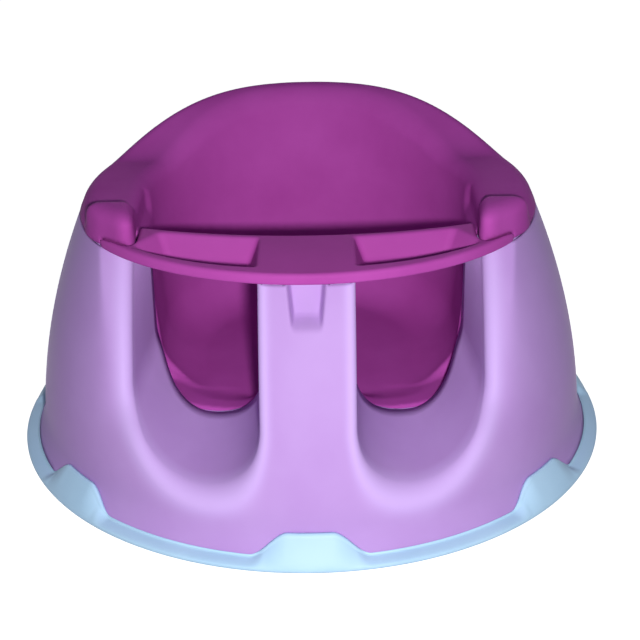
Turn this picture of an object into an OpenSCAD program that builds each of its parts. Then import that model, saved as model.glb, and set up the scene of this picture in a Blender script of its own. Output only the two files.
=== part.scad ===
// Baby floor seat: domed shell, seat pan, soft insert, sliding tray and non-slip ring.
// The front faces -Y, and the origin is under the middle of the foot, on the floor.

/* [Shell] */
// Radius of the shell at its foot
shell_r = 192; // [186:1:198]
// How far the side of the shell leans in at the lean height
shell_lean = 42; // [36:1:46]
// Height at which that lean is measured
lean_z = 170; // [162:1:178]
// Bow of the shell's side, where 1 is a straight cone
shell_bow = 1.9; // [1.7:0.1:2.1]
// How much nearer the middle the front is than the sides, at deck height
front_flat = 15.5; // [11:0.5:17]
// Height above which the front is flatter than the sides
flat_z = 33; // [28:1:40]
// How far the foot of the shell flares out
foot_flare = 9; // [6:0.5:10]
// Height of that flare
flare_z = 24; // [18:1:28]
// Wall of the shell
shell_wall = 3; // [2.4:0.2:3.6]
// Height of the deck that carries the tray and the arm rests
deck_z = 160; // [156:1:166]
// Rise of the rim from the deck to the top of the back
back_rise = 34; // [26:1:38]
// Where the rim starts to rise, behind the middle
rise_start = 45; // [38:1:52]
// Where the rim reaches its full height, behind the middle
rise_end = 127; // [120:1:130]

/* [Leg openings] */
// How far the middle of each leg trough lies in from the seat's radius
leg_in = 29; // [27.5:0.5:30]
// Half the width of the leg trough, inside
trough_r = 41; // [39:0.5:41.5]
// Height of the trough's floor at its inner end
trough_z = 52; // [49:1:53]
// Slope of the trough's floor, in degrees
trough_slope = 9.5; // [7:0.5:12]
// Depth of the shell's lip, turned in round each leg opening
lip_d = 24; // [20:1:26]
// How far the middle of each leg notch of the insert lies in from the middle of its trough
notch_in = 2.5; // [1:0.5:3]
// Half the width of the insert's leg notch
notch_r = 34; // [31:0.5:35]
// Height of the bottom of the insert's leg notch
notch_z = 54; // [53:1:58]

/* [Seat pan] */
// Wall of the seat pan
pan_wall = 2.5; // [2:0.1:3]
// Thickness of the pan's deck under the arms and the tray
deck_t = 3; // [2.4:0.2:4]
// Radius of the posts under the pan
post_r = 6; // [5:0.5:8]
// Place of the posts to the side and to the back
post_at = 50; // [40:1:52]

/* [Seat insert] */
// Radius of the seat inside, carried down to the floor of the seat
seat_r = 99; // [97:0.5:101]
// How much the seat widens for each millimetre of height
seat_draft = 0.08; // [0.06:0.01:0.09]
// Height of the seat's floor
seat_floor = 53; // [52:0.5:55]
// Radius of the bend from the seat's floor into its wall
seat_corner = 28; // [20:1:34]
// Thickness of the insert's foam
foam_t = 12; // [10:0.5:13]
// Height of the arm rests over the deck
arm_h = 16; // [14:1:20]
// Extra height of the pad at the front of each arm rest
pad_rise = 13; // [8:1:16]
// How far the insert stands in from the shell's side
arm_inset = 0.8; // [0.4:0.2:2]
// How far the web between the insert's leg notches ends under the deck
web_drop = 14; // [13:1:40]
// Radius of the locating studs under the insert
stud_r = 8; // [6:0.5:10]
// Place of the studs to the side and to the back
stud_at = 30; // [24:1:34]

/* [Tray] */
// Thickness of the tray
tray_t = 7; // [6:0.5:7.5]
// How far the tray's edge stands out over the shell
tray_out = 0.5; // [0:0.25:1.5]
// Place of the middle of the tray's back edge, in front of the seat's middle
tray_back = 75; // [70:1:80]
// Radius of the hollow in the tray's back edge
belly_r = 333; // [250:1:420]
// Width of the rim round the tray's front
tray_rim = 12; // [10:0.5:14]
// Width of the rim behind the pockets
back_rim = 6; // [4:0.5:9]
// Width of the strip of the tray in front of each pad
tip_w = 4; // [3:0.5:6]
// Half the width of the bridge between the pockets
bridge = 29.5; // [29:0.5:32]
// How far the inner ends of the pockets lean
bridge_lean = 6.5; // [5:0.5:9]
// How far the outer ends of the pockets lean
tip_lean = 18; // [15:1:22]
// Depth of the pockets
pocket_d = 16; // [12:0.5:17]
// Wall of the tray round the pockets
tray_wall = 2.4; // [2:0.1:2.6]
// Width of the tabs that reach under the pads
tab_w = 16; // [12:0.5:17]
// Height of the tabs
tab_h = 6.5; // [4:0.5:7]
// How far back the tabs reach, in front of the seat's middle
tab_back = 45; // [40:1:52]
// How far the tabs stand off the inner side of the arm rests
tab_in = 5.5; // [4.5:0.5:6.5]

/* [Scoop] */
// Width of the finger scoop at its top
scoop_w = 27; // [22:1:30]
// Width of the finger scoop at its bottom
scoop_low_w = 20; // [16:1:24]
// Height of the finger scoop
scoop_h = 24; // [18:1:28]
// Depth of the scoop under the tray's edge
scoop_d = 5; // [4:0.5:7]

/* [Ring] */
// How far the non-slip ring reaches beyond the shell's radius
ring_out = 14.5; // [13:0.5:16]
// Height of the ring's upright edge
edge_z = 2.4; // [1.6:0.2:3.2]
// How far the ring stands up round the shell's lower edge, between its lobes
bead_lip = 1.2; // [0.8:0.2:2.4]
// Height of the lobes
lobe_z = 20.5; // [18:0.5:24]
// How far the top of a lobe stands out from the shell
lobe_out = 3.2; // [2.4:0.2:4.5]
// Width of a lobe at its foot
lobe_w = 77; // [70:1:90]
// Width of a lobe at its top
lobe_top_w = 28; // [20:1:36]
// Number of lobes
lobes = 7; // [6:1:8]

/* [Base plate] */
// Height of the plate over the floor
plate_z = 1.8; // [1.8:0.1:2.4]
// Thickness of the plate
plate_t = 2; // [1.8:0.1:2.4]
// Thickness of the ring's flange, which the plate holds against the shell
flange_t = 1.4; // [1.2:0.1:1.8]
// How far the base plate reaches beyond the shell's radius
plate_out = 3; // [1.5:0.5:4.5]

/* [Screws] */
// Radius of a screw's thread
screw_r = 2; // [1.5:0.1:2.5]
// Radius of a screw's head
head_r = 3.8; // [3.4:0.1:4.4]
// Height of a screw's head
head_h = 1.6; // [1.3:0.1:1.7]
// Length of a screw under its head
screw_l = 15; // [10:1:16]
// Radius of the shell's screw bosses
boss_r = 5; // [4:0.5:6]
// How far the bosses stand in from the shell's foot
boss_in = 14; // [12:0.5:18]
// Number of screws round the rim
rim_count = 8; // [6:1:9]

/* [Fits] */
// Gap between moulded pieces that are screwed together
fit = 0.25; // [0.15:0.05:0.3]
// Gap round the soft insert and the sliding tray
slack = 0.4; // [0.3:0.05:0.6]

/* [Hidden] */
$fn = 48;
dome_steps = 64;
seat_steps = 48;
reach = 500;
front_curve = 1.2;
lavender = "#c49fe0";
magenta = "#9b3790";
sky = "#b4d8ee";
steel = "#b8bcc2";
over = 1;
bore_fit = 0.1;
band_h = 14;
rise_steps = 30;
ring_r = shell_r + ring_out;
plate_r = shell_r + plate_out;
shell_z = plate_z + plate_t + flange_t;
bead_z = shell_z + bead_lip;
dome_top = deck_z + back_rise + 8;
leg_x = seat_r - leg_in;
notch_x = leg_x - notch_in;
trough_out = trough_r + pan_wall;
trough_end = -97;
trough_start = 47;
notch_start = -60;
boss_at = shell_r - boss_in;
boss_z = plate_z + plate_t;
boss_h = screw_l + 3;
flange_in = boss_at + boss_r + 2;
rib_t = 3;
rib_lift = 2;
pan_off = foam_t + slack;
pan_floor = seat_floor - pan_off - pan_wall;
web_top = deck_z - web_drop;
arm_x = side_wall(deck_z);
edge_x = side_r(deck_z);
arm_corner = 12;
arm_end = edge_x - arm_corner - 3;
arm_end_y = -60;
arm_last = edge_x - 2*arm_corner;
pad_back = -58;
pad_end = -28;
pocket_end = arm_x - 4;
tab_x = arm_x + tab_in + tab_w/2;
tab_front = edge_y(arm_x + tab_in, tip_w/2);
tray_z = deck_z + slack;
top_z = deck_z + arm_h + back_rise;
scoop_back = front_y(deck_z) + scoop_d;

// The seat inside: half its width at a height, above the bend of its floor.
function side_wall(z) = seat_r + seat_draft*(z - seat_floor);

// The dome: half its width at a height, and how much nearer its front is than its sides.
function side_r(z) = shell_r - shell_lean*pow(max(z, 0)/lean_z, shell_bow)
    + foot_flare*pow(max(1 - z/flare_z, 0), 2);
function front_pull(z) = front_flat*pow(max(z - flat_z, 0)/(deck_z - flat_z), front_curve);
function front_y(z) = front_pull(z) - side_r(z);
function dome_ring(z, off) = [for (i = [0:dome_steps - 1])
    let (a = 360*i/dome_steps, r = side_r(z) + off, pull = sin(a) < 0 ? front_pull(z) : 0)
    [r*cos(a), (r - pull)*sin(a), z]];

// A smooth step from 0 to 1.
function clamp(t) = min(max(t, 0), 1);
function ease(t) = let (c = clamp(t)) c*c*(3 - 2*c);
function rim_rise(y) = back_rise*ease((y - rise_start)/(rise_end - rise_start));
function pad_lift(y) = pad_rise*ease((pad_end - y)/(pad_end - pad_back));

// The seat's bucket, grown outwards and downwards by off: a round back and a square front.
function bucket_point(a, r, z) = sin(a) >= 0 ? [r*cos(a), r*sin(a), z]
    : [r*sign(cos(a))*sqrt(abs(cos(a))), -r*sqrt(-sin(a)), z];
function bucket_ring(r, z) = [for (i = [0:seat_steps - 1]) bucket_point(360*i/seat_steps, r, z)];
function bend_ring(off, t) = let (bend = seat_corner + off, z = seat_floor - off + bend*(1 - cos(t)))
    bucket_ring(side_wall(z) + off - bend*(1 - sin(t)), z);

module loft(rings) {
    n = len(rings[0]);
    m = len(rings);
    polyhedron(
        points = [for (ring = rings) each ring],
        faces = concat(
            [[for (i = [0:n - 1]) i]],
            [for (k = [0:m - 2]) for (i = [0:n - 1])
                [k*n + i, (k + 1)*n + i, (k + 1)*n + (i + 1)%n, k*n + (i + 1)%n]],
            [[for (i = [n - 1:-1:0]) (m - 1)*n + i]]));
}

module dome(off, low, high) {
    from = max(low, flare_z);
    count = round((high - flare_z)/band_h);
    foot = low < flare_z ? [for (k = [0:3]) low + (flare_z - low)*k/4] : [];
    wall = [for (k = [0:count]) from + (high - from)*k/count];
    loft([for (z = concat(foot, wall)) dome_ring(z, off)]);
}

module bucket(off, high) {
    loft(concat([for (t = [0:15:90]) bend_ring(off, t)], [bucket_ring(side_wall(high) + off, high)]));
}

// Everything below a surface that rises between the pads and the top of the back.
module below(base, rising) {
    steps = [for (k = [0:rise_steps]) pad_back + (rise_end - pad_back)*k/rise_steps];
    rotate([90, 0, 90])
        linear_extrude(reach, center = true)
            polygon(concat(
                [[-reach, -reach], [-reach, base + rising(-reach)]],
                [for (y = steps) [y, base + rising(y)]],
                [[reach, base + rising(reach)], [reach, -reach]]));
}

module above(base, rising) {
    difference() {
        translate([-reach/2, -reach/2, 0])
            cube([reach, reach, reach]);
        below(base, rising);
    }
}

// A slot with a round bottom and an open top, which runs forwards from the seat.
module leg_slot(x, r, bottom) {
    rotate([90, 0, 0])
        linear_extrude(reach) {
            translate([x, bottom + r])
                circle(r);
            translate([x - r, bottom + r])
                square([2*r, reach]);
        }
}

module trough_slot(r) {
    translate([0, trough_end, trough_z])
        rotate([trough_slope, 0, 0])
            translate([0, trough_start, 0])
                leg_slot(leg_x, r, trough_r - r);
}

module both_sides() {
    children();
    mirror([1, 0, 0])
        children();
}

// The finger scoop: a prism that narrows downwards, with a back that runs out to the face.
module scoop(grow) {
    intersection() {
        rotate([90, 0, 0])
            linear_extrude(reach)
                polygon([
                    [-scoop_low_w/2 - grow, deck_z - scoop_h - grow],
                    [scoop_low_w/2 + grow, deck_z - scoop_h - grow],
                    [scoop_w/2 + grow, deck_z + over],
                    [-scoop_w/2 - grow, deck_z + over]]);
        rotate([90, 0, 90])
            linear_extrude(reach, center = true)
                polygon([
                    [-reach, deck_z - scoop_h - grow],
                    [front_y(deck_z - scoop_h), deck_z - scoop_h - grow],
                    [scoop_back + grow, deck_z - scoop_h/2],
                    [scoop_back + grow, deck_z + over],
                    [-reach, deck_z + over]]);
    }
}

module around(count, r, start) {
    for (i = [0:count - 1])
        rotate(start + 360*i/count)
            translate([r, 0, 0])
                children();
}

module at_posts() {
    for (x = [-post_at, post_at])
        for (y = [-post_at, post_at])
            translate([x, y, 0])
                children();
}

module at_studs() {
    for (x = [-stud_at, stud_at])
        for (y = [-stud_at, stud_at])
            translate([x, y, 0])
                children();
}

// Room for the shell's turned-in lips, in front of the seat pan's troughs.
module lip_room(grow) {
    difference() {
        both_sides()
            trough_slot(trough_out + grow);
        dome(-lip_d - grow, 0, deck_z + over);
    }
}

module outer_shell() {
    rib = [boss_in, rib_t, boss_h - flange_t - rib_lift];
    color(lavender)
        difference() {
            union() {
                difference() {
                    dome(0, shell_z, dome_top);
                    difference() {
                        dome(-shell_wall, shell_z - over, dome_top + over);
                        lip_room(0);
                    }
                    above(deck_z, function (y) rim_rise(y));
                }
                intersection() {
                    dome(-0.5, shell_z, deck_z);
                    scoop(shell_wall);
                    translate([-reach/2, -reach/2, 0])
                        cube([reach, reach, deck_z]);
                }
                around(rim_count, boss_at, 180/rim_count) {
                    translate([0, 0, boss_z])
                        cylinder(r = boss_r, h = boss_h);
                    intersection() {
                        translate([boss_r/2, -rib_t/2, shell_z + rib_lift])
                            cube(rib);
                        translate([-boss_at, 0, 0])
                            cylinder(r = side_r(boss_z + boss_h) - shell_wall/2, h = deck_z);
                    }
                }
            }
            both_sides()
                trough_slot(trough_r);
            bucket(pan_off, dome_top + over);
            scoop(0);
            around(rim_count, boss_at, 180/rim_count)
                translate([0, 0, boss_z - over])
                    cylinder(r = screw_r + bore_fit, h = screw_l - plate_t + 2*over);
        }
}

module seat_pan() {
    color(lavender)
        difference() {
            union() {
                intersection() {
                    dome(-shell_wall - fit, deck_z - deck_t - over, dome_top);
                    above(deck_z - deck_t, function (y) rim_rise(y));
                    below(deck_z, function (y) rim_rise(y));
                }
                intersection() {
                    bucket(pan_off + pan_wall, dome_top);
                    below(deck_z, function (y) rim_rise(y));
                }
                intersection() {
                    both_sides()
                        trough_slot(trough_out);
                    dome(-lip_d, over, deck_z);
                    translate([-reach/2, notch_start - reach, 0])
                        cube([reach, reach, deck_z]);
                }
                at_posts()
                    translate([0, 0, boss_z])
                        cylinder(r = post_r, h = pan_floor - boss_z + pan_wall/2);
            }
            bucket(pan_off, dome_top + over);
            both_sides()
                trough_slot(trough_r);
            lip_room(fit);
            scoop(shell_wall + fit);
            at_studs()
                translate([0, 0, pan_floor - over])
                    cylinder(r = stud_r + slack, h = pan_wall + 2*over);
            at_posts()
                translate([0, 0, boss_z - over])
                    cylinder(r = screw_r + bore_fit, h = screw_l - plate_t + 2*over);
        }
}

// The ring: a bead with a flange that the base plate holds, and lobes up the shell's side.
module ring_bead() {
    hold_r = plate_r + fit;
    rotate_extrude($fn = 96)
        polygon(concat(
            [[hold_r, 0], [ring_r - 1, 0], [ring_r, 1]],
            [for (t = [0:15:90]) let (in_r = side_r(bead_z) + fit)
                [in_r + (ring_r - in_r)*cos(t), edge_z + (bead_z - edge_z)*sin(t)]],
            [[side_r(shell_z) + fit, shell_z], [flange_in, shell_z],
             [flange_in, boss_z], [hold_r, boss_z]]));
}

module ring_lobe() {
    out_r = side_r(lobe_z) + lobe_out;
    half = lobe_w/2;
    slope = (lobe_w - lobe_top_w)/2;
    low = bead_z - over;
    flank = [for (t = [0:0.1:1]) [half - slope*t, low + (lobe_z - low)*ease(t)]];
    intersection() {
        rotate_extrude($fn = 96)
            polygon(concat(
                [[side_r(edge_z), edge_z], [ring_r, edge_z], [out_r + 1, lobe_z - 2.4],
                 [out_r, lobe_z - 0.8], [out_r - 1, lobe_z]],
                [for (k = [0:4]) let (z = lobe_z - (lobe_z - bead_z)*k/4) [side_r(z) + fit, z]]));
        rotate([90, 0, 0])
            linear_extrude(reach)
                polygon(concat(
                    [[-half, 0], [half, 0]],
                    flank,
                    [[flank[10][0], lobe_z + over], [-flank[10][0], lobe_z + over]],
                    [for (k = [10:-1:0]) [-flank[k][0], flank[k][1]]]));
    }
}

module base_trim() {
    color(sky)
        union() {
            ring_bead();
            for (i = [0:lobes - 1])
                rotate(360*i/lobes)
                    ring_lobe();
        }
}

module base_plate() {
    color(lavender)
        difference() {
            translate([0, 0, plate_z])
                cylinder(r = plate_r, h = plate_t, $fn = 96);
            around(rim_count, boss_at, 180/rim_count)
                cylinder(r = screw_r + 2*bore_fit, h = shell_z);
            at_posts()
                cylinder(r = screw_r + 2*bore_fit, h = shell_z);
        }
}

module screw() {
    slot = [head_r*1.2, 0.9, 1];
    translate([0, 0, plate_z - head_h])
        difference() {
            union() {
                cylinder(r = head_r, h = head_h);
                cylinder(r = screw_r, h = head_h + screw_l);
            }
            for (a = [0, 90])
                rotate(a)
                    translate([-slot[0]/2, -slot[1]/2, -0.1])
                        cube(slot);
        }
}

module rim_screws() {
    color(steel)
        around(rim_count, boss_at, 180/rim_count)
            screw();
}

module post_screws() {
    color(steel)
        at_posts()
            screw();
}

// Plan of the right arm rest, in front of which the tray's edge runs.
module arm_plan(grow) {
    x0 = arm_x - grow;
    polygon(concat(
        [for (k = [0:8]) let (x = x0 + (arm_last - x0)*k/8, c = max(arm_corner - x + x0, 0))
            [x, edge_y(x, tip_w) - grow + arm_corner - sqrt(arm_corner*arm_corner - c*c)]],
        [[arm_end, arm_end_y - grow], [reach, arm_end_y - grow], [reach, reach], [x0, reach]]));
}

module tab_plan(grow) {
    translate([tab_x - tab_w/2 - grow, -reach])
        square([tab_w + 2*grow, reach - tab_back + grow]);
}

module seat_insert() {
    top = deck_z + arm_h;
    color(magenta)
        difference() {
            union() {
                bucket(foam_t, top_z + over);
                intersection() {
                    dome(-arm_inset, deck_z - over, top_z + over);
                    above(deck_z + slack, function (y) rim_rise(y));
                }
                at_studs()
                    translate([0, 0, pan_floor])
                        cylinder(r = stud_r, h = foam_t);
            }
            bucket(0, top_z + 2*over);
            above(top, function (y) rim_rise(y) + pad_lift(y));
            both_sides() {
                translate([0, notch_start, 0])
                    leg_slot(notch_x, notch_r, notch_z);
                translate([0, 0, deck_z])
                    linear_extrude(reach)
                        difference() {
                            translate([0, -reach])
                                square([reach, reach]);
                            arm_plan(0);
                        }
                translate([0, 0, deck_z])
                    linear_extrude(tab_h + 2*slack)
                        tab_plan(slack);
            }
            translate([-leg_x, -reach, web_top])
                cube([2*leg_x, reach + trough_end, reach]);
        }
}

// Outline of one pocket: its back edge follows the tray's hollow and turns in to a point.
function belly_y(x, grow) = belly_r - tray_back - sqrt(pow(belly_r + grow, 2) - x*x);
function edge_y(x, inset) = let (r = side_r(deck_z) - inset)
    -(r - front_pull(deck_z))*sqrt(1 - x*x/(r*r));
function pocket_x(near, far, t) = bridge + near + (pocket_end - bridge - near - far)*t;
function pocket_turn_in(t) = sqrt(max(1 - pow(max(t - 0.7, 0)/0.3, 2), 0));
function pocket_front(x, lean) = edge_y(x, tray_rim*(1 - x/pocket_end/2) + lean);
function pocket_back(x, near, lean, t) = let (y = pocket_front(x, lean) + 0.5)
    y + (belly_y(x, back_rim + near) - y)*pocket_turn_in(t);
function pocket_ring(z, near, far, lean) = let (count = 12)
    concat(
        [for (i = [0:count]) let (x = pocket_x(near, far, i/count)) [x, pocket_front(x, lean), z]],
        [for (i = [count:-1:0]) let (x = pocket_x(near, far, i/count))
            [x, pocket_back(x, near, lean, i/count), z]]);

module pocket(grow) {
    floor_z = tray_z + tray_t - pocket_d - grow;
    front_lean = pocket_d - 2 - grow;
    rise = (1 - grow)*0.5;
    loft([
        pocket_ring(floor_z, bridge_lean - grow, tip_lean - grow, front_lean),
        pocket_ring(tray_z + tray_t + rise, -grow, -grow, -grow)]);
}

module tray() {
    color(magenta)
        difference() {
            union() {
                translate([0, 0, tray_z])
                    linear_extrude(tray_t)
                        difference() {
                            polygon([for (p = dome_ring(deck_z, tray_out)) [p[0], p[1]]]);
                            translate([0, belly_r - tray_back])
                                circle(belly_r, $fn = 180);
                            both_sides()
                                arm_plan(slack);
                        }
                both_sides() {
                    translate([0, 0, tray_z])
                        linear_extrude(tab_h)
                            intersection() {
                                tab_plan(0);
                                translate([0, tab_front])
                                    square([reach, -tab_back - tab_front]);
                                polygon([for (p = dome_ring(deck_z, tray_out)) [p[0], p[1]]]);
                            }
                    pocket(tray_wall);
                }
            }
            both_sides()
                pocket(0);
        }
}

outer_shell();
seat_pan();
base_trim();
base_plate();
rim_screws();
post_screws();
seat_insert();
tray();
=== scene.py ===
from math import radians, sin, cos, pi

import bmesh
import bpy
import numpy as np
from mathutils import Matrix, Vector


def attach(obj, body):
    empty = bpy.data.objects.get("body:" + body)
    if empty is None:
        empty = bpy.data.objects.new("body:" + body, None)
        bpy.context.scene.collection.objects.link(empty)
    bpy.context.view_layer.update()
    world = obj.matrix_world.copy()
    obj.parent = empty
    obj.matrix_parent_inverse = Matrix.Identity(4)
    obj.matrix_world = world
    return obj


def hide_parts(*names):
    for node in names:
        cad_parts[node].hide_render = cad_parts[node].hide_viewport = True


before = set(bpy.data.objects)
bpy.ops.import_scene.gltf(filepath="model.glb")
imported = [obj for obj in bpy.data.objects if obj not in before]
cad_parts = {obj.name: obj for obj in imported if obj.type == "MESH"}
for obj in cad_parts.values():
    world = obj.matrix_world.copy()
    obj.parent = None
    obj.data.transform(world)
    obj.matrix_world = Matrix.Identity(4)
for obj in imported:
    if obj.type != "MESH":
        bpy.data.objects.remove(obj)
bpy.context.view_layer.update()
mm = 0.001
print("frame loaded")

# The dome's own lines, in millimetres, as in the CAD: the side leans in with height and flares
# a little at the foot, the front is flatter than the sides, and the rim goes up behind.
dome = {
    "radius": 192, "lean": 42, "leanHeight": 170, "bow": 1.9,
    "flare": 9, "flareHeight": 24,
    "flat": 15.5, "flatFrom": 33, "flatBow": 1.2, "deck": 160,
    "rise": 34, "riseFrom": 45, "riseTo": 127,
}


def ease(t):  # smooth step from 0 to 1
    t = np.clip(t, 0, 1)
    return t * t * (3 - 2 * t)


def fade(value, start, end):  # smooth step that is 0 at start and 1 at end, either way round
    return ease((value - start) / (end - start))


def sideRadius(z):
    # The radius, less a lean that grows with a power of the height, plus a squared flare.
    z = np.maximum(z, 0)
    flare = dome["flare"] * np.maximum(1 - z / dome["flareHeight"], 0) ** 2
    return dome["radius"] - dome["lean"] * (z / dome["leanHeight"]) ** dome["bow"] + flare


def frontPull(z):  # how much flatter the front is than the sides, growing with height
    rise = np.maximum(z - dome["flatFrom"], 0) / (dome["deck"] - dome["flatFrom"])
    return dome["flat"] * rise ** dome["flatBow"]


def frontY(x, z):  # how far forward the dome's face is at x and z: an oval at each height
    wide = sideRadius(z)
    return -(wide - frontPull(z)) * np.sqrt(np.clip(1 - (x / wide) ** 2, 1e-4, 1))


def rimRise(y):  # how far the rim has gone up at y, towards the back
    return dome["rise"] * fade(y, dome["riseFrom"], dome["riseTo"])


def roundMax(a, b, r):  # the greater of two distances, with the edge between them rounded to r
    return np.minimum(np.maximum(a, b), -r) + np.hypot(np.maximum(a + r, 0), np.maximum(b + r, 0))


def roundMin(a, b, r):  # the lesser of two distances, with the corner between them filled to r
    return -roundMax(-a, -b, r)


# making meshes
def gridFaces(rows, cols, start=0, closed=False, flip=False):
    # Quads between the points of a grid, whose rows may close into rings.
    i = np.arange(rows - 1)[:, None]
    j = np.arange(cols if closed else cols - 1)[None, :]
    k = (j + 1) % cols
    quads = np.stack([i * cols + j, i * cols + k, (i + 1) * cols + k, (i + 1) * cols + j], -1)
    quads = quads.reshape(-1, 4) + start
    return quads[:, ::-1] if flip else quads


def addPiece(name, data):  # an object at the origin, with its place in its mesh
    piece = bpy.data.objects.new(name, data)
    bpy.context.scene.collection.objects.link(piece)
    return piece


def buildMesh(name, points, faces):  # points in millimetres
    mesh = bpy.data.meshes.new(name)
    mesh.from_pydata((points * mm).tolist(), [], faces.tolist())
    mesh.shade_smooth()
    return addPiece(name, mesh)


def mergePoints(mesh, near):  # joins points that are closer than near, in millimetres
    soft = bmesh.new()
    soft.from_mesh(mesh)
    bmesh.ops.remove_doubles(soft, verts=soft.verts, dist=near * mm)
    soft.to_mesh(mesh)
    soft.free()


def readPoints(mesh):  # a mesh's points as rows of x, y and z, in millimetres
    flat = np.empty(len(mesh.vertices) * 3, np.float32)
    mesh.vertices.foreach_get("co", flat)
    return flat.reshape(-1, 3).astype(np.float64) / mm


def writePoints(mesh, points):  # and back into the mesh, in metres
    mesh.vertices.foreach_set("co", (points * mm).astype(np.float32).ravel())
    mesh.update()


def settleOn(points, field, rounds):
    # Newton steps carry every point along the field's slope onto its zero surface. A step is
    # never longer than leap, and a slope never taken as flatter than flattest.
    step, leap, flattest = 0.05, 3, 0.05
    for _ in range(rounds):
        value = field(points)
        slope = np.stack([(field(points + d) - field(points - d)) / (2 * step)
                          for d in np.eye(3) * step], 1)
        size = np.maximum((slope ** 2).sum(1), flattest)
        move = -(value / size)[:, None] * slope
        length = np.linalg.norm(move, axis=1)
        points = points + move * np.minimum(1, leap / np.maximum(length, 1e-9))[:, None]
    return points


def evenOut(mesh, points, field, rounds=3):
    # Points slide half way to the middle of their neighbours and settle on the surface again.
    edges = np.empty(len(mesh.edges) * 2, np.int32)
    mesh.edges.foreach_get("vertices", edges)
    a, b = edges.reshape(-1, 2).T
    count = np.bincount(a, minlength=len(points)) + np.bincount(b, minlength=len(points))
    for _ in range(rounds):
        total = np.zeros_like(points)
        for here, there in ((a, b), (b, a)):
            for k in range(3):
                total[:, k] += np.bincount(here, points[there, k], len(points))
        points = settleOn((points + total / count[:, None]) / 2, field, 2)
    return points


def fieldMesh(name, low, high, step, field):
    # Surface nets: each cell of a cubic grid that the surface passes through gets a point, the
    # middle of the places where the surface crosses the cell's edges. Each grid edge that it
    # crosses gets a face between the four cells round it. Then the points settle on the surface.
    axes = [np.arange(a, b + step, step) for a, b in zip(low, high)]
    value = field(np.stack(np.meshgrid(*axes, indexing="ij"), -1).reshape(-1, 3))
    value = value.reshape([len(axis) for axis in axes])
    cells = value.size
    total, count, faces = np.zeros((cells, 3)), np.zeros(cells), []
    for k in range(3):
        near = np.moveaxis(value, k, 0)[:-1]
        far = np.moveaxis(value, k, 0)[1:]
        crossed = np.argwhere((near < 0) != (far < 0))
        a, b = near[tuple(crossed.T)], far[tuple(crossed.T)]
        others = [j for j in range(3) if j != k]
        corner = np.empty_like(crossed)
        corner[:, k], corner[:, others] = crossed[:, 0], crossed[:, 1:]
        place = corner.astype(float)
        place[:, k] += a / (a - b)
        u, v = (k + 1) % 3, (k + 2) % 3
        around = []
        for du, dv in ((0, 0), (1, 0), (1, 1), (0, 1)):
            cell = corner.copy()
            cell[:, u] -= du
            cell[:, v] -= dv
            around.append(np.ravel_multi_index(cell.T, value.shape))
            count += np.bincount(around[-1], minlength=cells)
            total += np.stack([np.bincount(around[-1], place[:, j], cells) for j in range(3)], 1)
        quad = np.stack(around, 1)
        faces.append(np.where((a < 0)[:, None], quad, quad[:, ::-1]))
    used = count > 0
    points = np.array(low) + step * total[used] / count[used, None]
    piece = buildMesh(name, points, (np.cumsum(used) - 1)[np.concatenate(faces)])
    writePoints(piece.data, evenOut(piece.data, settleOn(points, field, 4), field))
    return piece


# materials
def linear(hexColour):  # sRGB hex to linear red, green, blue and 1
    parts = [int(hexColour[i:i + 2], 16) / 255 for i in (1, 3, 5)]
    return [c / 12.92 if c <= 0.04045 else ((c + 0.055) / 1.055) ** 2.4 for c in parts] + [1]


def addNode(tree, kind, settings=None, links=None):
    # A setting goes to the input of that name or number, or else to the node itself.
    node = tree.nodes.new(kind)
    for key, value in (settings or {}).items():
        if isinstance(key, int) or key in node.inputs:
            node.inputs[key].default_value = value
        else:
            setattr(node, key, value)
    for key, source in (links or {}).items():
        tree.links.new(source, node.inputs[key])
    return node


def newMaterial(name):
    material = bpy.data.materials.new(name)
    material.use_nodes = True
    material.node_tree.nodes.clear()
    return material, material.node_tree


def addClouds(tree, place, size, noise, spread, colours):
    # A soft noise, size millimetres across, and a ramp from it between two close colours.
    cloud = addNode(tree, "ShaderNodeTexNoise", {"Scale": 1 / (size * mm), **noise},
                    {"Vector": place.outputs["Object"]})
    blend = addNode(tree, "ShaderNodeValToRGB", {}, {"Fac": cloud.outputs["Fac"]})
    for stop, position, colour in zip(blend.color_ramp.elements, spread, colours):
        stop.position = position
        stop.color = linear(colour)
    return cloud, blend.outputs["Color"]


def mouldedPlastic(name, light, dark, roughness, gloss, grain, highlightColour=None):
    # Injection moulded plastic: even colour with a faint cloudiness from the melt, a satin
    # spark-eroded grain and, where the piece has the edge attribute, a painted highlight that makes
    # the rolled edges paler.
    material, tree = newMaterial(name)
    place = addNode(tree, "ShaderNodeTexCoord")
    cloud, colour = addClouds(tree, place, 45, {"Detail": 3, "Roughness": 0.5},
                              (0.3, 0.7), (dark, light))
    # The edge attribute mixes in a paler colour: a painted highlight on the rolled edges.
    if highlightColour:
        edge = addNode(tree, "ShaderNodeAttribute", {"attribute_name": "edge"})
        tint = addNode(tree, "ShaderNodeMix", {"data_type": "RGBA", 7: linear(highlightColour)},
                       {0: edge.outputs["Fac"], 6: colour})
        colour = tint.outputs[2]
    grit = addNode(tree, "ShaderNodeTexNoise", {"Scale": 1 / (grain * mm), "Detail": 2},
                   {"Vector": place.outputs["Object"]})  # grain of the mould, drawn a little coarse
    bump = addNode(tree, "ShaderNodeBump", {"Strength": 0.12, "Distance": 0.1 * mm},
                   {"Height": grit.outputs["Fac"]})
    shine = addNode(tree, "ShaderNodeMapRange",
                    {"From Min": 0.3, "From Max": 0.7,
                     "To Min": roughness - 0.04, "To Max": roughness + 0.05},
                    {"Value": cloud.outputs["Fac"]})
    shader = addNode(tree, "ShaderNodeBsdfPrincipled", {"IOR": 1.49, "Specular IOR Level": gloss},
                     {"Base Color": colour, "Roughness": shine.outputs["Result"],
                      "Normal": bump.outputs["Normal"]})
    addNode(tree, "ShaderNodeOutputMaterial", {}, {"Surface": shader.outputs[0]})
    return material


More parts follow.
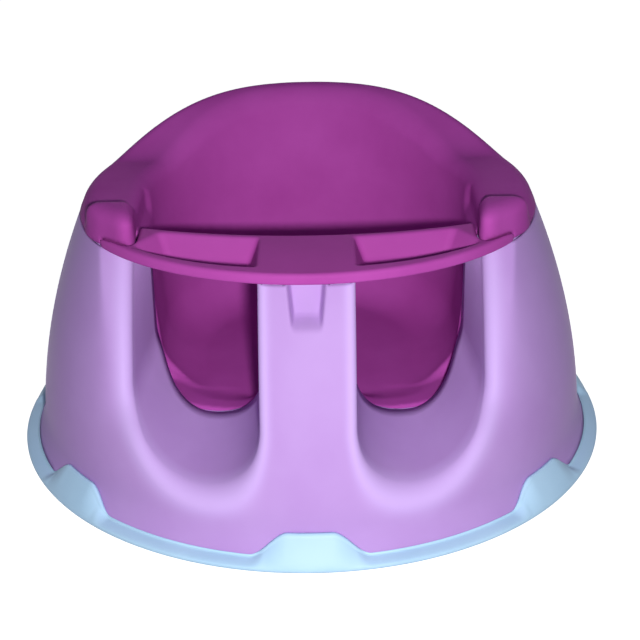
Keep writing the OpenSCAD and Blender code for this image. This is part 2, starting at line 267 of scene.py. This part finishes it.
def softSkin(name, light, dark):
    # Integral-skin foam: a smooth, matt, slightly uneven skin with fine pores.
    material, tree = newMaterial(name)
    place = addNode(tree, "ShaderNodeTexCoord")
    _, colour = addClouds(tree, place, 60, {"Detail": 4, "Roughness": 0.55},
                          (0.32, 0.7), (dark, light))
    pores = addNode(tree, "ShaderNodeTexVoronoi", {"Scale": 1 / (1.1 * mm)},
                    {"Vector": place.outputs["Object"]})  # pores 0.4 mm apart, drawn at 1.1 mm
    bump = addNode(tree, "ShaderNodeBump", {"Strength": 0.1, "Distance": 0.2 * mm},
                   {"Height": pores.outputs["Distance"]})
    shader = addNode(tree, "ShaderNodeBsdfPrincipled",
                     {"Roughness": 0.55, "IOR": 1.45, "Specular IOR Level": 0.02},
                     {"Base Color": colour, "Normal": bump.outputs["Normal"]})
    addNode(tree, "ShaderNodeOutputMaterial", {}, {"Surface": shader.outputs[0]})
    return material


def zincSteel(name):
    # Zinc plated steel screws: grey metal with a fine uneven shine.
    material, tree = newMaterial(name)
    place = addNode(tree, "ShaderNodeTexCoord")
    grit = addNode(tree, "ShaderNodeTexNoise", {"Scale": 1 / (0.5 * mm), "Detail": 2},
                   {"Vector": place.outputs["Object"]})
    shine = addNode(tree, "ShaderNodeMapRange", {"To Min": 0.28, "To Max": 0.45},
                    {"Value": grit.outputs["Fac"]})
    shader = addNode(tree, "ShaderNodeBsdfPrincipled",
                     {"Metallic": 1, "Base Color": linear("#B9BDC3")},
                     {"Roughness": shine.outputs["Result"]})
    addNode(tree, "ShaderNodeOutputMaterial", {}, {"Surface": shader.outputs[0]})
    return material


# The grains are in millimetres. The gloss is low, as the white surroundings would veil the
# level faces otherwise.
lavender = {"light": "#BC97D6", "dark": "#B68FD0", "roughness": 0.45, "gloss": 0.06, "grain": 0.9}
# The shell's rolled edges get a paler colour mixed in: a painted highlight.
shellPlastic = mouldedPlastic("lavenderPolypropylene", highlightColour="#CDADEA", **lavender)
panPlastic = mouldedPlastic("lavenderPanPolypropylene", **lavender)
trayPlastic = mouldedPlastic("magentaPolypropylene", light="#B24CA6", dark="#AA459E",
                             roughness=0.52, gloss=0.03, grain=0.8)
ringRubber = mouldedPlastic("skyThermoplasticRubber", light="#BADCF4", dark="#B0D4EE",
                            roughness=0.5, gloss=0.25, grain=1.2)
cushionSkin = softSkin("magentaIntegralSkinFoam", light="#B24DA8", dark="#A8449D")
screwSteel = zincSteel("zincPlatedSteel")
print("materials made")


def dress(node, material):  # a CAD node keeps its shape and gets its finish
    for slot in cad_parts[node].material_slots:
        slot.material = material


dress("base_plate", panPlastic)
dress("rim_screws", screwSteel)
dress("post_screws", screwSteel)

# shell
shell = {
    "openingX": 70, "openingR": 40.7,      # leg opening: middle and half width
    "troughR": 41.0,                       # the trough's own half width, which sets its height
    "floorAt": -97, "floorZ": 52.3, "slope": 9.5,      # and its floor
    "bucketR": 112.5, "bucketSide": 72,    # the trough ends at the seat's rounded square bucket
    "bucketBend": 40, "bucketBendZ": 81,   # and under its bend
    "drawIn": 9, "drawTurn": (95, 25),     # how far its outer wall leans in, round the U
    "sideEnd": -54, "endTurn": (95, 0),    # and where that ends beside the seat
    "wideEdge": 8.5, "lowEdge": 11, "thinEdge": 4.5,   # rounding at the outer side, foot, middle
    "outerTurn": (85, 10), "innerTurn": (110, 170),    # the angles at which those give way
    "bandTop": 21, "bandLow": 15, "bandFade": 40,      # flat band outside the opening
    "creaseLow": 9, "creaseTop": 2,                    # rounding where it meets the dome
    "sideAngle": 27,                       # where the front patch meets the round back
    "foot": 5.2, "wall": 2.4, "merge": 0.02,
    "scoopTop": 12.4, "scoopLow": 9.6, "scoopZ": 136, "scoopDepth": 9,
    "scoopEdge": 3.2, "scoopRunOut": 0.28, "scoopShallow": 0.25, "scoopBow": 0.12,
    "tallRows": 54, "bendRows": 84,        # strips up each side and round the bottom of the U
    "wallRows": 8, "edgeRows": 11, "nearRows": 20, "farRows": 16,   # points along each strip
    "nearWide": 19, "nearShare": 0.62,     # how far the finer of them reach over the dome
    "backColumns": 145,
}


def troughLine(x, w):
    # Where the trough's wall, w over its floor, comes out through the dome's face.
    rise = np.tan(radians(shell["slope"]))
    y = np.full_like(x, -150.0)   # a first guess, which the rounds correct
    for _ in range(12):
        z = shell["floorZ"] + (y - shell["floorAt"]) * rise + w / cos(radians(shell["slope"]))
        y = frontY(x, z)
    return z


def troughEnd(x, z):
    # How far forward the bucket's front is at x and z: a fourth-power square with flat sides,
    # on a radius that shrinks along a quarter circle under the bend.
    low = np.clip((shell["bucketBendZ"] - z) / shell["bucketBend"], 0, 1)
    radius = shell["bucketR"] - shell["bucketBend"] * (1 - np.sqrt(1 - low ** 2))
    square = np.maximum(radius ** 4 - np.abs(x) ** 4, shell["bucketSide"] ** 4)
    return -square ** 0.25


def scoopDip(x, z):
    # The finger scoop: a trapezium that narrows downwards, hollowed like a spoon.
    up = (z - shell["scoopZ"]) / (dome["deck"] - shell["scoopZ"])
    half = shell["scoopLow"] + (shell["scoopTop"] - shell["scoopLow"]) * np.clip(up, 0, 1)
    across = ease((half - np.abs(x)) / shell["scoopEdge"])
    along = ease(up / shell["scoopRunOut"]) * (1 - shell["scoopShallow"] * ease(up - 0.5))
    return shell["scoopDepth"] * across * along * (1 - shell["scoopBow"] * (x / half) ** 2)


def sideLine(z):  # the x at which the front patch meets the round back
    return sideRadius(z) * cos(radians(shell["sideAngle"]))


def shellFront():
    # Strips stand side by side along the U of the opening, from its outer top round the bottom
    # to its inner top. Each runs from the trough's inner end forwards, round the edge and out
    # over the dome to the patch's border.
    tall, wallRows, edgeRows = shell["tallRows"], shell["wallRows"], shell["edgeRows"]
    r, cx, deck = shell["openingR"], shell["openingX"], dome["deck"]
    sideOut = troughLine(np.array([cx + r]), np.array([shell["troughR"]]))[0]
    sideIn = troughLine(np.array([cx - r]), np.array([shell["troughR"]]))[0]
    turn = np.radians(np.concatenate([
        np.zeros(tall), -np.linspace(0, 180, shell["bendRows"] + 1)[1:-1], np.full(tall, -180.0)]))
    nx, nz = np.cos(turn), np.sin(turn)
    px = cx + r * nx
    pz = troughLine(px, shell["troughR"] + r * nz)
    pz[:tall] = np.linspace(deck, sideOut, tall)
    pz[-tall:] = np.linspace(sideIn, deck, tall)
    slopeShare = np.ones_like(px)   # the walls' tops run back level, and the floor slopes
    slopeShare[:tall] = 1 - (pz[:tall] - sideOut) / (deck - sideOut)
    slopeShare[-tall:] = 1 - (pz[-tall:] - sideIn) / (deck - sideIn)
    rise = np.tan(radians(shell["slope"])) * slopeShare

    degrees = -np.degrees(turn)
    outer = fade(degrees, *shell["outerTurn"])
    inner = fade(degrees, *shell["innerTurn"])
    edge = shell["lowEdge"] + (shell["wideEdge"] - shell["lowEdge"]) * outer \
        + (shell["thinEdge"] - shell["lowEdge"]) * inner
    high = np.clip((pz - sideOut) / (deck - sideOut), 0, 1)
    band = (shell["bandLow"] + (shell["bandTop"] - shell["bandLow"]) * high) * outer
    crease = shell["creaseLow"] \
        - (shell["creaseLow"] - shell["creaseTop"]) * ease(high * 1.1) * outer

    # The border: down the side line, along the foot and up the middle line, each taking its
    # share of the half turn.
    foot = shell["foot"]
    downSide = np.clip(degrees / 45, 0, 1)
    alongFoot = np.clip((degrees - 45) / 90, 0, 1)
    upMiddle = np.clip((degrees - 135) / 45, 0, 1)
    bz = np.where(degrees <= 45, sideOut + (foot - sideOut) * downSide, foot)
    bz = np.where(degrees > 135, foot + (sideIn - foot) * upMiddle, bz)
    bz[:tall], bz[-tall:] = pz[:tall], pz[-tall:]
    bx = np.where(degrees <= 45, sideLine(bz), sideLine(np.array(foot)) * (1 - alongFoot))
    bx[degrees >= 135] = 0
    bx[:tall] = sideLine(bz[:tall])

    # How far each point lies outside the opening: none on the trough's wall, a quarter circle
    # round the edge, then near points close together and far ones up to the border.
    reach = np.hypot(bx - px, bz - pz)
    arc = np.linspace(0, pi / 2, edgeRows)
    mid = edge + np.minimum(shell["nearWide"], shell["nearShare"] * (reach - edge))
    offs = np.concatenate([
        np.zeros((wallRows, len(px))),
        edge * (1 - np.cos(arc))[:, None],
        edge + (mid - edge) * np.linspace(0, 1, shell["nearRows"] + 1)[1:, None],
        mid + (reach - mid) * np.linspace(0, 1, shell["farRows"] + 1)[1:, None]])
    bandY = frontY(px + band * nx, pz + band * nz) - shell["bandFade"] * (1 - outer)

    def face(x, z):
        # The dome's face or the flat band, whichever is further back, with the crease between
        # them rounded, less what that rounding adds 100 mm away from it.
        y = frontY(x, z)
        y = (y + bandY + np.sqrt((y - bandY) ** 2 + crease ** 2)) / 2 - crease ** 2 / (4 * 100)
        return y + scoopDip(x, z)

    share = np.clip((offs - edge) / (reach - edge), 0, 1) ** 2
    x = px + offs * nx + share * (bx - px - reach * nx)
    z = pz + offs * nz + share * (bz - pz - reach * nz)
    y = face(x, z)
    lipY = face(px, pz)
    behind = np.zeros_like(offs)
    behind[wallRows:wallRows + edgeRows] = edge * (1 - np.sin(arc))[:, None]

    # The trough's wall runs back to the seat, and its outer side leans in towards it. Where it
    # ends depends on its height there, so a few rounds settle the two, from 60 mm behind.
    back = np.linspace(1, 0, wallRows + 1)[:-1][:, None]
    draw = shell["drawIn"] * fade(degrees, *shell["drawTurn"])
    end = lipY + 60
    for _ in range(6):
        bucket = troughEnd(px - draw * nx, pz - draw * nz + rise * (end - lipY))
        end = bucket + (shell["sideEnd"] - bucket) * fade(degrees, *shell["endTurn"])
    behind[:wallRows] = edge + (end - lipY - edge) * back
    x[:wallRows] -= draw * nx * back
    z[:wallRows] -= draw * nz * back
    y = y + behind
    z = z + rise * behind
    # The painted highlight on the rolled edge is a bell curve round the arc, on the outside only.
    edgeHighlight = np.exp(-((offs - 0.6 * edge) / (0.8 * edge)) ** 2) * (behind <= edge)
    return x, y, z, edgeHighlight, bz[degrees <= 45]


def shellBack(rows):
    # The round sides and back: an angle and a height, up to the rim that rises behind.
    angle = np.radians(np.linspace(-shell["sideAngle"], 180 + shell["sideAngle"],
                                   shell["backColumns"]))[None, :]
    low = shell["foot"]
    top = np.full(angle.shape, float(dome["deck"]))
    for _ in range(12):
        wide = sideRadius(top)
        top = dome["deck"] + rimRise(wide * np.sin(angle))
    z = low + (rows[:, None] - low) * (top - low) / (dome["deck"] - low)
    wide = sideRadius(z)
    deep = np.where(np.sin(angle) < 0, wide - frontPull(z), wide)
    return wide * np.cos(angle), deep * np.sin(angle), z


def makeShell():
    # The front patch, its mirror image and the round back, merged along their common points.
    x, y, z, tone, rows = shellFront()
    right = np.stack([x, y, z], -1)
    left = right * [-1, 1, 1]
    back = np.stack(shellBack(rows), -1)
    # The two ends of the round grid take the front patch's own edge points.
    back[:, 0] = right[-1][:len(rows)]
    back[:, -1] = left[-1][:len(rows)]
    points = np.concatenate([part.reshape(-1, 3) for part in (right, left, back)])
    faces = np.concatenate([
        gridFaces(*right.shape[:2]),
        gridFaces(*left.shape[:2], start=tone.size, flip=True),
        gridFaces(*back.shape[:2], start=2 * tone.size, flip=True)])
    piece = buildMesh("outerShell", points, faces)
    # The edge attribute carries the painted highlight round the rolled edge of each leg opening.
    tones = np.zeros(len(points), np.float32)
    tones[:2 * tone.size] = np.tile(tone.ravel(), 2)
    layer = piece.data.attributes.new("edge", "FLOAT", "POINT")
    layer.data.foreach_set("value", tones)
    mergePoints(piece.data, shell["merge"])
    piece.data.shade_smooth()
    piece.data.materials.append(shellPlastic)
    wall = piece.modifiers.new("wall", "SOLIDIFY")
    wall.thickness = shell["wall"] * mm
    wall.offset = -1
    return piece


outerShell = makeShell()
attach(outerShell, "base")
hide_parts("outer_shell")
print("shell made")

# inner pan
pan = {
    "merge": 0.01, "cornerX": 100, "cornerZ": 95, "clear": 1,   # its front corners
    "recessX": (12, 17.5), "recessZ": 130,                      # the recess behind the scoop
    "recessFrom": 3.3, "recessDeep": 4, "closeFront": 2.1, "closeMore": 3.1,
}


def makePan():
    # The CAD's own pan. Its front corners are drawn back behind the shell's flat bands, whose
    # faces stand further back there than the plain dome's.
    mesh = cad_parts["seat_pan"].data.copy()
    mesh.name = "innerPan"
    mergePoints(mesh, pan["merge"])
    points = readPoints(mesh)
    x, y, z = np.abs(points[:, 0]), points[:, 1], points[:, 2]
    high = np.clip((z - pan["cornerZ"]) / (dome["deck"] - pan["cornerZ"]), 0, 1)
    band = shell["bandLow"] + (shell["bandTop"] - shell["bandLow"]) * high
    limit = frontY(shell["openingX"] + shell["openingR"] + band, z) + shell["wall"] + pan["clear"]
    front = (y < 0) & (z > pan["cornerZ"]) & (x > pan["cornerX"])
    points[:, 1] = np.where(front, np.maximum(y, limit), y)
    # The sides of the recess close up to the shell's hollow, and more so the deeper they are.
    low, high = pan["recessX"]
    recess = (y < 0) & (z > pan["recessZ"]) & (x > low) & (x < high)
    deep = np.clip((y - frontY(x, z) - pan["recessFrom"]) / pan["recessDeep"], 0, 1)
    close = np.sign(points[:, 0]) * (pan["closeFront"] + pan["closeMore"] * deep)
    points[:, 0] -= np.where(recess, close, 0)
    writePoints(mesh, points)
    mesh.materials.clear()
    mesh.materials.append(panPlastic)
    return addPiece("innerPan", mesh)


innerPan = makePan()
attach(innerPan, "base")
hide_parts("seat_pan")
print("pan made")

# non-slip ring
ring = {
    "outer": 206.5, "inner": 195.3, "edge": 2.4, "between": 6.4, "lobe": 20.5,
    "lobes": 7, "lobeFoot": 77, "lobeTop": 28, "lobeAt": 6, "standOut": 3.2, "thin": 0.9,
    "fit": 0.25, "sole": 0.4, "shelf": 5.0, "crown": 1.3, "bow": 2.2, "bowDrop": 0.95,
    "columns": 980, "faceRows": 14, "merge": 0.02,
}


def makeRing():
    # The height goes round the ring as a soft wave with flat tops; each height has its own
    # outline: out along the floor, up the flared face, over the rounded top and down the shell.
    angle = np.linspace(0, 2 * pi, ring["columns"], endpoint=False)
    step = 2 * pi / ring["lobes"]
    away = np.abs((angle + pi / 2 + step / 2) % step - step / 2) * (ring["outer"] - ring["lobeAt"])
    lobe = fade(away, ring["lobeFoot"] / 2, ring["lobeTop"] / 2)
    top = ring["between"] + (ring["lobe"] - ring["between"]) * lobe
    inside = sideRadius(top) + ring["fit"]
    thick = ring["thin"] + (ring["standOut"] - ring["thin"]) * ease(lobe * 3)
    high = inside + thick
    bow = ring["bow"] - ring["bowDrop"] * ease(lobe * 2)

    def level(value):
        return np.full_like(top, value)

    outline = [(level(ring["inner"]), level(ring["sole"])),
               (level(ring["outer"] - 1.6), level(0)),         # the sole's edge, rounded
               (level(ring["outer"] - 0.5), level(0.35)),
               (level(ring["outer"]), level(1.2))]
    for u in np.linspace(0, 1, ring["faceRows"]):
        outline.append((high + (ring["outer"] - high) * (1 - u ** bow),
                        ring["edge"] + (top - ring["crown"] - ring["edge"]) * u))
    outline += [(high - 0.25, top - 0.75),                     # over the top, rounded
                (high - 0.75 * thick / 2, top - 0.25),
                (inside + 0.45 * thick, top), (inside + 0.1, top - 0.15)]
    for u in (0.15, 0.4, 0.7, 1):                              # down the shell's side
        z = top - 0.3 - (top - 5.6) * u
        outline.append((sideRadius(z) + ring["fit"], z))
    outline.append((level(ring["inner"]), level(ring["shelf"])))
    radius = np.stack([o[0] for o in outline])
    z = np.stack([o[1] for o in outline])
    points = np.stack([radius * np.cos(angle), radius * np.sin(angle), z], -1)
    rows, cols = radius.shape
    loop = np.concatenate([points, points[:1]])
    piece = buildMesh("nonSlipRing", loop.reshape(-1, 3), gridFaces(rows + 1, cols, closed=True))
    mergePoints(piece.data, ring["merge"])
    piece.data.shade_smooth()
    piece.data.materials.append(ringRubber)
    return piece


nonSlipRing = makeRing()
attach(nonSlipRing, "base")
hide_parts("base_trim")
print("ring made")

# Seat cushion: one firm foam moulding without cover or seam, so nothing is sewn or crowned, and
# its edges are rounded as a mould rounds them.
cushion = {
    "seatR": 99, "draft": 0.08, "floor": 53, "bend": 28, "foam": 12,
    "deck": 160.4, "top": 176, "padRise": 9.5, "padBack": -62, "padEnd": -40,
    "padInner": 107.56, "padStrip": 4, "stripFrom": 116, "stripTo": 146, "padCorner": 13,
    "bulge": 0.4, "padBulge": 2, "lowRound": 3, "padRound": 2.5, "faceRound": 2.5,
    "notchX": 72, "notchR": 43.5, "notchZ": 54.8, "notchBack": -52, "notchTop": 162,
    "notchDeep": 12, "notchTurn": (95, 75), "notchRound": 4, "notchCorner": 28,
    "rimRound": 6, "wellRound": 10, "smallRound": 2, "joinRound": 3, "notchTopRound": 1.5,
    "webX": 70, "webY": -97, "webTop": 146,
    "channelX": 121, "channelHalf": 8.4, "channelBack": -44.6, "channelTop": 165.8,
    "studAt": 30, "studR": 8, "studZ": 44.1, "studHalf": 6,
    "low": (-158, -152, 34), "high": (158, 158, 216), "grid": 2.0,
}


def ovalDistance(x, y, wide, deep):
    # Distance outside an oval whose front half is deep and whose back half is as deep as wide.
    front = np.where(y < 0, deep, wide)
    q = np.maximum(np.hypot(x / wide, y / front), 1e-6)
    return (q - 1) * q / np.maximum(np.hypot(x / wide ** 2, y / front ** 2), 1e-9)


def wellDistance(p, grow):
    # The seat's well: round behind, a fourth-power square in front, bent into its floor. The
    # wall's distance is divided by its slope, so that it counts in true millimetres.
    x, y, z = p.T
    square = np.maximum((x ** 4 + y ** 4), 1e-6) ** 0.25
    q = np.where(y >= 0, np.hypot(x, y), square)
    slope = np.where(y >= 0, 1, np.sqrt(x ** 6 + y ** 6) / square ** 3)
    wall = q - cushion["seatR"] - cushion["draft"] * (z - cushion["floor"]) - grow
    return roundMax(wall / np.maximum(slope, 0.5), cushion["floor"] - grow - z,
                    cushion["bend"] + grow)


def armPlan(x, y, grow):
    # Outline of one arm rest, seen from above: less than zero inside it. The strip of the tray
    # in front of it runs out to nothing.
    wide = sideRadius(dome["deck"]) + cushion["padBulge"] + grow \
        - (cushion["padStrip"] + cushion["padBulge"]) \
        * (1 - fade(x, cushion["stripFrom"], cushion["stripTo"]))
    oval = ovalDistance(x, y, wide, wide - dome["flat"])
    return roundMax(cushion["padInner"] - grow - x, oval, cushion["padCorner"])


def padShare(y):  # 0 behind the pad at the front of the arm rest, 1 on it
    return fade(y, cushion["padEnd"], cushion["padBack"])


def cushionTop(y):  # the top's height: it goes up with the rim, and on the pads
    return cushion["top"] + rimRise(y) + cushion["padRise"] * padShare(y)


def cushionField(p):
    # A slab between the rim and the top, and under it the foam round the well, with the well, the
    # room for the tray, the leg notches, the front web and the tray's channels cut out of them.
    x, y, z = np.abs(p[:, 0]), p[:, 1], p[:, 2]
    q = np.stack([x, y, z], 1)
    small, join = cushion["smallRound"], cushion["joinRound"]
    pad = padShare(y)
    level = z + (dome["deck"] - z) * pad * (z > dome["deck"])   # a pad's side stands upright
    wide = sideRadius(level) + cushion["bulge"] + (cushion["padBulge"] - cushion["bulge"]) * pad
    slab = roundMax(ovalDistance(x, y, wide, wide - frontPull(z)),
                    cushion["deck"] + rimRise(y) - z, cushion["lowRound"])
    body = roundMin(slab, wellDistance(q, cushion["foam"]), join)
    ahead = roundMax(roundMax(dome["deck"] - z, -armPlan(x, y, 0), small), y, small)
    body = roundMax(body, -ahead, cushion["faceRound"])
    tilt = cushionTop(y + 0.5) - cushionTop(y - 0.5)
    body = roundMax(body, (z - cushionTop(y)) / np.sqrt(1 + tilt ** 2),
                    cushion["rimRound"] + cushion["padRound"] * pad)
    body = roundMax(body, -wellDistance(q, 0), cushion["wellRound"])
    notch = roundMax(np.abs(x - cushion["notchX"]) - cushion["notchR"],
                     cushion["notchZ"] - z, cushion["notchCorner"])
    deeper = cushion["notchDeep"] * fade(x, *cushion["notchTurn"])
    notch = roundMax(notch, y - cushion["notchBack"] + deeper, join)
    notch = roundMax(notch, z - cushion["notchTop"], cushion["notchTopRound"])
    body = roundMax(body, -notch, cushion["notchRound"])
    web = roundMax(roundMax(x - cushion["webX"], y - cushion["webY"], join),
                   cushion["webTop"] - z, join)
    body = roundMax(body, -web, join)
    channel = roundMax(np.abs(x - cushion["channelX"]) - cushion["channelHalf"],
                       roundMax(y - cushion["channelBack"], z - cushion["channelTop"], small), small)
    body = roundMax(body, -channel, small)
    stud = roundMax(np.hypot(x - cushion["studAt"], np.abs(y) - cushion["studAt"]) - cushion["studR"],
                    np.abs(z - cushion["studZ"]) - cushion["studHalf"], small)
    return roundMin(body, stud, small)


seatCushion = fieldMesh("seatCushion", cushion["low"], cushion["high"], cushion["grid"],
                        cushionField)
seatCushion.data.materials.append(cushionSkin)
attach(seatCushion, "insert")
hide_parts("seat_insert")
print("cushion made", len(seatCushion.data.polygons))

# tray
tray = {
    "low": 160.4, "thick": 7, "out": 0.5, "back": 75, "hollow": 333,
    "rim": 12, "backRim": 6, "bridge": 29.5, "tip": 106, "deep": 16, "wall": 2.4,
    "frontLean": 14, "endLean": 6.5, "frontSlope": 0.8, "slantSlope": 0.7,
    "sideX": 97.4, "sideY": -72.8, "sideSlant": 0.66, "sideLean": 12, "tipEnd": 139,
    "tabFrom": 113, "tabTo": 129, "tabFront": -88, "tabBack": -45, "tabHalf": 2.5, "tabUnder": 2,
    "armGap": 0.4, "armRound": 2, "tabRound": 1.2, "tipRound": 1.5,
    "edgeRound": 2.7, "lowRound": 1.2, "pocketRound": 4, "endRound": 3, "pocketRim": 1.6,
    "bowlTop": 1, "bowlRound": 1.5,
    "gridLow": (-152, -146, 146), "gridHigh": (152, -38, 172), "grid": 1.0,
}


def pocketDistance(x, y, z, grow):
    # One pocket: a crescent between the rim and the hollow, with leaning ends and front wall.
    down = np.clip((tray["low"] + tray["thick"] - z) / tray["deep"], -0.2, 1.2)
    inset = tray["rim"] * (1 - x / (2 * tray["tip"])) + tray["frontLean"] * down - grow
    wide = sideRadius(dome["deck"]) - inset
    front = ovalDistance(x, y, wide, wide - dome["flat"]) * tray["frontSlope"]
    behind = tray["hollow"] + tray["backRim"] + tray["endLean"] * down - grow \
        - np.hypot(x, y - tray["hollow"] + tray["back"])
    inner = tray["bridge"] + tray["endLean"] * down - grow - x
    slant = x - tray["sideX"] + tray["sideSlant"] * (y - tray["sideY"]) + tray["sideLean"] * down
    side = roundMax(front, behind, tray["pocketRound"])
    side = roundMax(side, inner, tray["endRound"])
    side = roundMax(side, slant * tray["slantSlope"] - grow, tray["endRound"])
    floor = tray["low"] + tray["thick"] - tray["deep"] - grow - z
    return roundMax(side, floor, tray["pocketRound"])


def trayField(p):
    # A crescent plate between the rim's oval and the hollow's circle, cut back round the arm
    # rests, with a tab under each pad, a bowl under each pocket and the pockets cut out.
    x, y, z = np.abs(p[:, 0]), p[:, 1], p[:, 2]
    wide = sideRadius(dome["deck"]) + tray["out"]
    oval = ovalDistance(x, y, wide, wide - dome["flat"])
    hollow = tray["hollow"] - np.hypot(x, y - tray["hollow"] + tray["back"])
    plan = roundMax(oval, hollow, tray["endRound"])
    plan = roundMax(plan, -armPlan(x, y, tray["armGap"]), tray["armRound"])
    plan = roundMax(plan, x - tray["tipEnd"], tray["tipRound"])
    body = roundMax(plan, z - tray["low"] - tray["thick"], tray["edgeRound"])
    body = roundMax(body, tray["low"] - z, tray["lowRound"])
    tab = roundMax(np.maximum(x - tray["tabTo"], tray["tabFrom"] - x),
                   np.maximum(y - tray["tabBack"], tray["tabFront"] - y), tray["tipRound"])
    tab = roundMax(tab, np.abs(z - tray["low"] - tray["tabHalf"]) - tray["tabHalf"],
                   tray["tabRound"])
    body = np.minimum(body, np.maximum(tab, oval + tray["tabUnder"]))
    middle = tray["low"] + tray["thick"] / 2
    bowl = roundMax(pocketDistance(x, y, z, tray["wall"]), z - middle, tray["bowlTop"])
    body = roundMin(body, bowl, tray["bowlRound"])
    return roundMax(body, -pocketDistance(x, y, z, 0), tray["pocketRim"])


snackTray = fieldMesh("snackTray", tray["gridLow"], tray["gridHigh"], tray["grid"], trayField)
snackTray.data.materials.append(trayPlastic)
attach(snackTray, "tray")
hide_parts("tray")
print("tray made", len(snackTray.data.polygons))

# floor, light and camera
studio = {
    "key": 7.3, "keySize": 0.04, "keyAt": (0.045, -0.882, 0.448), "keyTo": (0, 0, 0.1),
    "rear": 1.7, "rearSpread": 30, "rearHeight": 2,
    "fill": 0.115, "fillColour": "#CCD6FF", "floorGlow": 0.96, "floorColour": "#BCBCBC",
    "floorHalf": 6, "floorZ": -0.0004,
    "height": 28.8, "turn": 0.7, "distance": 1.0, "roll": 1.1,
    "photoSize": 640, "focalPixels": 1355, "originX": 311.5, "originY": 409.7,
}


def addSeen(tree):  # 1 for what the camera sees straight, mirrored or through glass
    ray = addNode(tree, "ShaderNodeLightPath")
    seen = addNode(tree, "ShaderNodeMath", {"operation": "MAXIMUM"},
                   {0: ray.outputs["Is Camera Ray"], 1: ray.outputs["Is Glossy Ray"]})
    return addNode(tree, "ShaderNodeMath", {"operation": "MAXIMUM"},
                   {0: seen.outputs[0], 1: ray.outputs["Is Transmission Ray"]})


def makeFloor():
    mesh = bpy.data.meshes.new("floor")
    half, z = studio["floorHalf"], studio["floorZ"]
    mesh.from_pydata([(-half, -half, z), (half, -half, z), (half, half, z), (-half, half, z)],
                     [], [(0, 1, 2, 3)])
    piece = addPiece("floor", mesh)
    # Pale paper sweep: the glow is for the camera and for reflections only, and the plain
    # diffuse part keeps the shadow.
    material, tree = newMaterial("palePaper")
    seen = addSeen(tree)
    amount = addNode(tree, "ShaderNodeMath", {"operation": "MULTIPLY", 1: studio["floorGlow"]},
                     {0: seen.outputs[0]})
    glow = addNode(tree, "ShaderNodeEmission", {"Color": (1, 1, 1, 1)},
                   {"Strength": amount.outputs[0]})
    paper = addNode(tree, "ShaderNodeBsdfDiffuse", {"Color": linear(studio["floorColour"])})
    both = addNode(tree, "ShaderNodeAddShader", {}, {0: glow.outputs[0], 1: paper.outputs[0]})
    addNode(tree, "ShaderNodeOutputMaterial", {}, {"Surface": both.outputs[0]})
    mesh.materials.append(material)


def faceAlong(light, away):  # turns a light so that it shines against the direction away
    light.rotation_euler = Vector(away).to_track_quat("Z", "Y").to_euler()


def makeLight():
    # A small lamp beside the lens, as the photograph's short shadows show; a broad low sun from
    # behind, which only reaches the far side; and a dim, slightly cool sky.
    lamp = bpy.data.lights.new("key", "AREA")
    lamp.shape = "DISK"
    lamp.size = studio["keySize"]
    lamp.energy = studio["key"]
    light = addPiece("key", lamp)
    light.location = studio["keyAt"]
    faceAlong(light, Vector(studio["keyAt"]) - Vector(studio["keyTo"]))
    lamp = bpy.data.lights.new("rear", "SUN")
    lamp.energy = studio["rear"]
    lamp.angle = radians(studio["rearSpread"])
    light = addPiece("rear", lamp)
    height = radians(studio["rearHeight"])
    faceAlong(light, (0, cos(height), sin(height)))
    light.visible_glossy = False
    world = bpy.data.worlds.new("studio")
    bpy.context.scene.world = world
    world.use_nodes = True
    tree = world.node_tree
    tree.nodes.clear()
    seen = addSeen(tree)
    dim = [c * studio["fill"] for c in linear(studio["fillColour"])[:3]] + [1]
    colour = addNode(tree, "ShaderNodeMix", {"data_type": "RGBA", 6: dim, 7: (1, 1, 1, 1)},
                     {0: seen.outputs[0]})
    sky = addNode(tree, "ShaderNodeBackground", {"Strength": 1.0}, {"Color": colour.outputs[2]})
    addNode(tree, "ShaderNodeOutputWorld", {}, {"Surface": sky.outputs[0]})


def makeCamera():
    # The lens and the place are worked out from the photograph's perspective; the small shift
    # keeps the seat low in the frame.
    height, turn, roll = (radians(studio[k]) for k in ("height", "turn", "roll"))
    away = Vector((sin(turn) * cos(height), -cos(turn) * cos(height), sin(height)))
    right = Vector((cos(turn), sin(turn), 0))
    up = away.cross(right)
    tiltedRight = right * cos(roll) - up * sin(roll)
    tiltedUp = up * cos(roll) + right * sin(roll)
    data = bpy.data.cameras.new("camera")
    size = studio["photoSize"]
    data.lens = data.sensor_width * studio["focalPixels"] / size
    data.shift_x = (size / 2 - studio["originX"]) / size
    data.shift_y = (studio["originY"] - size / 2) / size
    camera = addPiece("camera", data)
    turned = Matrix((tiltedRight, tiltedUp, away)).transposed().to_4x4()
    camera.matrix_world = Matrix.Translation(away * studio["distance"]) @ turned
    bpy.context.scene.camera = camera


makeFloor()
makeLight()
makeCamera()
bpy.context.scene.view_settings.view_transform = "Standard"
print("studio made")

bpy.context.view_layer.update()
